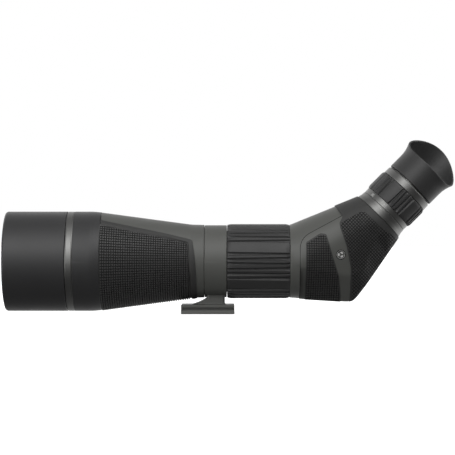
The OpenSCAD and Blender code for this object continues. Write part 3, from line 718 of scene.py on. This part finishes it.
def eased(radii):
    """The radii with each moved halfway to the mean of its four neighbours. Both ends stay as they are."""
    result = [list(row) for row in radii]
    for i in range(2, SECTIONS - 1):
        for k in range(SPOKES):
            around = radii[i][k - 1] + radii[i][(k + 1) % SPOKES] + radii[i - 1][k] + radii[i + 1][k]
            result[i][k] = 0.5 * radii[i][k] + 0.125 * around
    return result


def housing_rings():
    """Sections of the envelope from the focus grip to the eyepiece, smoothed as a casting is."""
    hull = housing_hull()
    sections = [housing_section(hull, i) for i in range(SECTIONS + 1)]
    radii = [row for _, _, row in sections]
    for _ in range(5):
        radii = eased(radii)
    turns = [math.tau * k / SPOKES for k in range(SPOKES)]
    rings = []
    for (centre, down, _), row in zip(sections, radii):
        rings.append([tuple(centre + (down * math.cos(a) + Vector((0, math.sin(a), 0))) * r)
                      for a, r in zip(turns, row)])
    return rings


def housing_surface(rings):
    mesh = Mesh()
    mesh.skin(rings)
    bm = bmesh.new()
    made = [bm.verts.new(p) for p in mesh.points]
    for face in mesh.faces:
        bm.faces.new([made[i] for i in face])
    bmesh.ops.recalc_face_normals(bm, faces=bm.faces)
    bm.normal_update()
    if sum(v.normal.y * v.co.y for v in bm.verts) < 0:
        bmesh.ops.reverse_faces(bm, faces=bm.faces)
        bm.normal_update()
    return bm


def inside(polygon, x, z):
    crossed = False
    for (x0, z0), (x1, z1) in zip(polygon, polygon[1:] + polygon[:1]):
        if (z0 > z) != (z1 > z) and x < x0 + (x1 - x0) * (z - z0) / (z1 - z0):
            crossed = not crossed
    return crossed


def plate(name, surface, outline, lift, thickness, edge):
    """A skin over the housing inside a side-view outline, lifted off it, with thickness and a round rim."""
    bm = surface.copy()
    for v in bm.verts:
        v.co += v.normal * lift
    for (x0, z0), (x1, z1) in zip(outline, outline[1:] + outline[:1]):
        bmesh.ops.bisect_plane(bm, geom=bm.verts[:] + bm.edges[:] + bm.faces[:], plane_co=(x0, 0, z0),
                               plane_no=(z1 - z0, 0, x0 - x1), dist=1e-4)
    outside = []
    for f in bm.faces:
        middle = f.calc_center_median()
        if not inside(outline, middle.x, middle.z):
            outside.append(f)
    bmesh.ops.delete(bm, geom=outside, context="FACES")
    bmesh.ops.remove_doubles(bm, verts=bm.verts, dist=0.02)
    bmesh.ops.scale(bm, vec=(MM, MM, MM), verts=bm.verts)
    for face in bm.faces:
        face.smooth = True
    mesh = bpy.data.meshes.new(name)
    bm.to_mesh(mesh)
    bm.free()
    obj = link(name, mesh)
    solid = obj.modifiers.new("thickness", "SOLIDIFY")
    solid.thickness, solid.offset = thickness * MM, -1
    rim = obj.modifiers.new("rim", "BEVEL")
    rim.width, rim.segments, rim.limit_method, rim.angle_limit = edge * MM, 3, "ANGLE", math.radians(50)
    rim.harden_normals = False
    return obj


def pad_field(name, surface, region, direction, pitch):
    """Raised squares, painted lighter as highlight, on both flanks of the housing within a side-view region,
    over a floor painted dark as shade.

    Their rows run along direction."""
    # The floor between the squares is painted near black: painted shade.
    add(plate(name + "_floor", surface, region, PANEL_LIFT + 0.04, 0.3, 0.02), "scope", "armour_rubber",
        finish="black_and_painted_shade")
    body = BVHTree.FromBMesh(surface)
    along = Vector(direction).normalized()
    across = Vector((-along.y, along.x))
    local = [(Vector(p).dot(along), Vector(p).dot(across)) for p in region]
    lows = [min(p[i] for p in local) for i in (0, 1)]
    counts = [int((max(p[i] for p in local) - lows[i]) / pitch) + 1 for i in (0, 1)]
    mesh = Mesh()
    for side in (-1, 1):
        def place(p, rise):
            x, z = along * p[0] + across * p[1]
            hit, normal = body.ray_cast(Vector((x, side * 80, z)), Vector((0, -side, 0)))[:2]
            if hit is None:
                return None
            if normal.y * side < 0:
                normal = -normal
            return tuple(hit + normal * rise) if abs(normal.y) > 0.3 else None
        for i in range(counts[0] + 1):
            for k in range(counts[1] + 1):
                cell = square(lows[0] + pitch * (i + 0.5), lows[1] + pitch * (k + 0.5), pitch, pitch)
                cell = trimmed(cell, local)
                if cell and abs(area(cell)) > 0.35 and all(place(p, 0) for p in cell):
                    add_pad(mesh, cell, place, PANEL_LIFT - 0.1, PANEL_LIFT + SQUARE_LIFT)
    # The squares are painted lighter than the panel: painted highlight.
    add(mesh.build(name + "_squares"), "scope", "armour_rubber", finish="armour_fine_painted_highlight")


def housing_cheek(surface):
    """A raised cheek over both flanks, and round its edge a near-black strip that is painted shade in the
    seam.
    """
    cheek = soften([(89.4, 0, 0), (89.4, 75.1, 18), (130, 96.9, 0), (150, 107.6, 0), (175, 60, 0),
                    (150, 0, 0)], steps=8)
    add(plate("housing_cheek", surface, cheek, 0.6, 1.0, 0.3), "scope", "shell_grey")
    # A slightly larger near-black sheet under the cheek's edge shows as a dark line: painted shade of the
    # seam.
    seam = soften([(88.9, 0, 0), (88.9, 75.4, 18.4), (130, 97.45, 0), (150, 108.15, 0), (176, 60, 0),
                   (150, 0, 0)], steps=8)
    add(plate("housing_seam_painted_shade", surface, seam, 0.12, 0.5, 0.05), "scope", "armour_rubber",
        finish="black_and_painted_shade")


def housing_panels(surface):
    """The rubber panels on the flanks and round the back, each with its field of squares."""
    side = soften([(94.8, 0, 0), (94.8, 71.4, 3), (109.0, 80.4, 4), (115.0, 79.6, 3.4), (119.9, 61.8, 20),
                   (127.3, 38.8, 40), (129.9, 20, 20), (131, 0, 0)], steps=5)
    add(plate("side_panel", surface, side, PANEL_LIFT, 1.3, 0.35), "scope", "armour_rubber", "side_armour")
    field = [(95.9, 10), (95.9, 70.4), (109.3, 78.9), (112.6, 78.8), (114.3, 77.4), (118.9, 61.8),
             (126.2, 38.8), (128.7, 20), (129.6, 10)]
    pad_field("side_panel", surface, field, (1, 0), 2.3)

    rear = soften([(122, 113, 0), (127.0, 104.1, 0.5), (131.2, 96.6, 1.2), (128.0, 90.6, 2),
                   (128.4, 86.2, 2), (134.6, 68.2, 20), (139.2, 46, 20), (139.6, 0, 0), (215, 40, 0),
                   (160, 140, 0)], steps=4)
    add(plate("rear_panel", surface, rear, PANEL_LIFT, 1.3, 0.35), "scope", "armour_rubber", "rear_armour")
    field = soften([(129.4, 90.6, 1), (129.3, 87.2, 2), (132.6, 77.6, 10), (136.0, 67.0, 10),
                    (139.8, 52, 10), (141.2, 36, 10), (141.6, 12, 0), (190, 72, 0), (166.8, 87.4, 0),
                    (163.6, 91.0, 1), (153.2, 101.3, 2), (148.8, 101.4, 2)], steps=2)
    pad_field("rear_panel", surface, field, (1, 1), 2.37)


def prism_housing():
    rings = housing_rings()
    mesh = Mesh()
    mesh.skin(rings, caps=True)
    add(mesh.build("prism_housing", sharp=50), "scope", "shell_grey", "prism_housing")
    flange = soften([(34, 79.6, 0), (36.1, 79.6, 0.2), (36.4, 80.2, 0.3), (36.4, FLANGE_REAR, 0.25),
                     (34.9, FLANGE_REAR, 0), (34, FLANGE_REAR, 0)])
    add(turned(flange, 192).build("housing_flange", MAIN), "scope", "shell_grey")
    surface = housing_surface(rings)
    housing_cheek(surface)
    housing_panels(surface)
    badge(BVHTree.FromBMesh(surface))
    surface.free()


def badge(body):
    """Plain round inlay on the near flank: a dark dish with a light ring and three light blades."""
    x, z = 128.9, 59.3
    hit, normal = body.ray_cast(Vector((x, -80, z)), Vector((0, 1, 0)))[:2]
    if normal.y > 0:
        normal = -normal
    facing = normal.to_track_quat("Z", "Y").to_matrix().to_4x4()
    place = Matrix.Translation((hit + normal * 0.3) * MM) @ facing
    dish = soften([(0, -0.8, 0), (4.85, -0.8, 0), (4.85, 0.5, 0.2), (4.3, 0.6, 0.1), (4.1, 0.25, 0.2),
                   (0, 0.25, 0)])
    add(turned(dish, 96).build("badge_dish", place), "scope", "black_plastic", "badge",
        finish="black_and_painted_shade")
    marks = turned(soften([(3.85, 0.2, 0), (4.1, 0.2, 0), (4.1, 0.5, 0.1), (3.85, 0.5, 0.1)]), 96)
    for k in range(3):
        path = []
        for i in range(15):
            a = math.radians(120 * k + 20 + 84 * i / 14)
            width = 0.95 * math.sin(math.pi * (i + 0.8) / 15.6)
            path.append([(r * math.cos(a), r * math.sin(a), h) for r, h in
                         ((2.1 - width, 0.2), (2.1 + width, 0.2), (2.1 + width, 0.5), (2.1 - width, 0.5))])
        marks.skin(path, caps=True)
    add(marks.build("badge_marks", place), "scope", "black_plastic", finish="badge_silver")


# ---------- eyepiece ----------

INDEX = 259                  # degrees round the eyepiece to the zoom scale's index dot, on the near side
NUMBER_TURN = 37.5           # degrees from one number of the scale to the next


def base_ring():
    outline = soften([(22.45, BASE_START + 0.1, 0), (28.0, BASE_START + 0.1, 0.2),
                      (28.4, BASE_START + 0.7, 0.3), (27.4, BASE_START + 4.6, 1.5),
                      (27.1, BASE_START + 8.2, 0.25), (26.8, BASE_START + 8.5, 0.1),
                      (22.45, BASE_START + 8.5, 0)])
    add(turned(outline, 192).build("eyepiece_base_ring", EYE), "scope", "trim_metal", "eyepiece_base_ring")
    dot = soften([(0, -0.3, 0), (0.75, -0.3, 0), (0.75, 0.16, 0.1), (0, 0.2, 0)])
    place = EYE @ Matrix.Rotation(math.radians(INDEX), 4, "Z") \
        @ Matrix.Translation((27.1 * MM, 0, (BASE_START + 6.2) * MM)) @ Matrix.Rotation(math.pi / 2, 4, "Y")
    add(turned(dot, 32).build("index_dot", place), "scope", "black_plastic", finish="badge_silver")


def scale_ring():
    """Turned ring under the zoom grip, with raised numerals of the magnification and small ticks."""
    outline = soften([(22.5, SCALE_START, 0), (26.7, SCALE_START, 0.2), (26.9, SCALE_START + 0.5, 0.2),
                      (26.9, GRIP_START - 0.3, 0.1), (25.6, GRIP_START - 0.1, 0), (25.6, GRIP_END, 0),
                      (22.5, GRIP_END, 0)])
    add(turned(outline, 192).build("zoom_scale_ring", EYE), "zoom_ring", "trim_metal", "zoom_cam_ring")
    for k, value in enumerate(("20", "30", "40", "50", "60")):
        numeral(value, INDEX - NUMBER_TURN * k, 26.9, SCALE_START + 1.0, 2.9)
    ticks = Mesh()
    for k in range(29):
        a = math.radians(INDEX - NUMBER_TURN * k / 7)
        tall = 0.9 if k % 7 == 0 else 0.55
        out, turn = Vector((math.cos(a), math.sin(a), 0)), Vector((-math.sin(a), math.cos(a), 0))
        low = SCALE_START + 4.4
        corners = [out * r + turn * t + Vector((0, 0, h)) for r in (26.8, 26.97) for t, h in
                   ((-0.12, low), (0.12, low), (0.12, low + tall), (-0.12, low + tall))]
        ticks.add(corners, [(0, 1, 2, 3), (4, 5, 6, 7), (0, 1, 5, 4), (1, 2, 6, 5), (2, 3, 7, 6),
                            (3, 0, 4, 7)])
    add(ticks.build("zoom_ticks", EYE), "zoom_ring", "black_plastic")


def numeral(text, angle, radius, low, size):
    """One number of the zoom scale, bent round the ring and raised off it by a hair."""
    curve = bpy.data.curves.new("numeral", "FONT")
    curve.body, curve.size, curve.extrude, curve.align_x = text, size * MM * 1.35, 0.09 * MM, "CENTER"
    curve.resolution_u = 4
    flat = bpy.data.objects.new("numeral", curve)
    scene.collection.objects.link(flat)
    bpy.context.view_layer.update()
    mesh = bpy.data.meshes.new_from_object(flat.evaluated_get(bpy.context.evaluated_depsgraph_get()))
    bpy.data.objects.remove(flat)
    for v in mesh.vertices:
        a = math.radians(angle) + v.co.x / (radius * MM)
        r = radius * MM + v.co.z + 0.03 * MM
        v.co = Vector((r * math.cos(a), r * math.sin(a), low * MM + v.co.y))
    obj = link("zoom_number_" + text, mesh, EYE)
    add(obj, "zoom_ring", "black_plastic", finish="badge_silver")


def top_ring():
    outline = soften([(19.8, 100.8, 0), (22.45, 100.8, 0), (22.45, GRIP_END + 0.3, 0),
                      (26.9, GRIP_END + 0.3, 0.2), (27.15, GRIP_END + 0.8, 0.2),
                      (27.0, TOP_RING_END - 0.9, 0.3), (26.3, TOP_RING_END, 0.2), (22, TOP_RING_END, 0),
                      (22, 125, 0.2), (18.6, 125, 0.2), (18.6, 112, 0), (17, 112, 0), (17, 106.6, 0),
                      (19.8, 103.6, 0)])
    add(turned(outline, 192).build("ocular_housing", EYE), "scope", "trim_metal", "ocular_housing")


# The eyecup's outer radius by station along the eyepiece's axis.
FLARE = ((107.0, 27.05), (121.5, 27.05), (124.0, 27.15), (126.5, 27.35), (129.5, 27.95), (132.5, 28.75),
         (135.5, 29.95), (137.5, 30.7), (142.0, 31.15), (161.0, 31.3))
WING_TURN, WING_FOLD = 12.8, 7.8         # how far its rim swings from side to side, and lifts on both sides


def eyecup():
    """Soft eyecup with one wing: its rim dips on the near side and stands tall on the far side."""
    segments = 200
    outer, inner = 30, 18
    rings = []
    for i in range(segments):
        a = math.tau * i / segments
        rim = CUP_RIM + WING_TURN * math.sin(a) + WING_FOLD * math.sin(a) ** 2 - 1.0
        row = [(25.02, CUP_START + 0.1), (26.3, CUP_START), (26.85, CUP_START + 0.25),
               (27.05, CUP_START + 0.8)]
        for k in range(1, outer + 1):
            s = CUP_START + 0.8 + (rim - CUP_START - 0.8) * k / outer
            row.append((interp(s, FLARE), s))
        lip = interp(rim, FLARE)
        for k in range(1, 8):
            t = math.pi * k / 8
            row.append((lip - 0.95 + 1.1 * math.cos(t), rim + 1.05 * math.sin(t)))
        for k in range(inner + 1):
            s = rim + (128.6 - rim) * k / inner
            row.append((interp(s, FLARE) - 2.0 - 0.2 * k / inner, s))
        row += [(24.6, 127.4), (23.4, 126.9), (22.9, 126.6), (22.9, 126.25), (25.02, 126.25)]
        rings.append([(r * math.cos(a), r * math.sin(a), s) for r, s in row])
    mesh = Mesh()
    mesh.skin(rings, along=True)
    add(mesh.build("eyecup", EYE, sharp=50), "eyecup", "grip_rubber", "eyecup_rubber")


def eye_lens():
    face = [(18.4 * i / 20, 112.6 - 0.5 * (i / 20) ** 2) for i in range(21)]
    back = [(18.4 * i / 20, 121.4 - 3.4 * (i / 20) ** 2) for i in range(20, -1, -1)]
    add(turned(face + back, 128).build("eye_lens", EYE), "scope", "glass", "eye_lens")


sunshade()
trim_ring()
front_ring()
barrel_shell()
barrel_armour()
front_lens()
collar()
pedestal()
foot()
lock_boss()
grips()
prism_housing()
base_ring()
scale_ring()
top_ring()
eyecup()
eye_lens()


# ---------- floor, light and camera ----------

def floor():
    mesh = Mesh()
    mesh.add([(-6000, -6000, 0), (6000, -6000, 0), (6000, 6000, 0), (-6000, 6000, 0)], [(0, 1, 2, 3)])
    obj = mesh.build("floor")
    made = bpy.data.materials.new("floor")
    made.use_nodes = True
    shader = made.node_tree.nodes["Principled BSDF"]
    shader.inputs["Base Color"].default_value = (0.6, 0.6, 0.6, 1)
    shader.inputs["Roughness"].default_value = 1.0
    shader.inputs["Emission Color"].default_value = (1, 1, 1, 1)
    shader.inputs["Emission Strength"].default_value = 0.92
    obj.data.materials.append(made)
    obj.visible_diffuse = obj.visible_glossy = obj.visible_transmission = False


LIGHT = 2.8                  # strength of the brightest band
LIGHT_LEAN = 1.1             # radians for a direction straight along X


def studio_light():
    """White surroundings to look at, and light that comes round the X axis in bands.

    A soft box stands high in front, the top and the back are pale, and little comes from below. The bands
    lean down towards the objective's side."""
    world = bpy.data.worlds.new("studio")
    scene.world = world
    world.use_nodes = True
    tree = world.node_tree
    tree.nodes.clear()
    generated = node(tree, "ShaderNodeTexCoord").outputs["Generated"]
    direction = node(tree, "ShaderNodeSeparateXYZ", {0: generated})
    front = node(tree, "ShaderNodeMath", {0: direction.outputs["Y"], 1: -1.0}, operation="MULTIPLY")
    lift = node(tree, "ShaderNodeMath", {0: direction.outputs["Z"], 1: front.outputs[0]},
                operation="ARCTAN2")
    lean = node(tree, "ShaderNodeMath", {0: direction.outputs["X"], 1: -LIGHT_LEAN, 2: lift.outputs[0]},
                operation="MULTIPLY_ADD")
    turn = node(tree, "ShaderNodeMapRange", {"Value": lean.outputs[0], "From Min": -math.pi,
                                             "From Max": math.pi})
    bands = [(-180, 0.42), (-160, 0.25), (-130, 0.11), (-90, 0.043), (-40, 0.030), (-12, 0.038),
             (5, 0.12), (24, 0.47), (36, 0.88), (46, 1.0), (57, 0.74), (70, 0.31), (90, 0.11),
             (120, 0.11), (150, 0.24), (168, 0.36), (180, 0.42)]
    light = ramp(tree, turn.outputs["Result"], [((a + 180) / 360, v) for a, v in bands])
    lit = node(tree, "ShaderNodeBackground", {"Color": light, "Strength": LIGHT})
    seen = node(tree, "ShaderNodeBackground", {"Color": (1, 1, 1, 1), "Strength": 1.0})
    to_camera = node(tree, "ShaderNodeLightPath").outputs["Is Camera Ray"]
    by_eye = node(tree, "ShaderNodeMixShader", {0: to_camera, 1: lit.outputs[0], 2: seen.outputs[0]})
    tree.links.new(by_eye.outputs[0], node(tree, "ShaderNodeOutputWorld").inputs["Surface"])


CAMERA_AT = (0.0178, -1.8, 0.0859)       # metres
CAMERA_LENS, CAMERA_SENSOR = 142.42, 36


def camera():
    data = bpy.data.cameras.new("camera")
    data.lens, data.sensor_width = CAMERA_LENS, CAMERA_SENSOR
    data.clip_start, data.clip_end = 0.05, 20
    obj = bpy.data.objects.new("camera", data)
    obj.location = CAMERA_AT
    obj.rotation_euler = (math.pi / 2, 0, 0)
    scene.collection.objects.link(obj)
    scene.camera = obj


floor()
studio_light()
camera()
scene.view_settings.view_transform = "Standard"

bpy.context.view_layer.update()
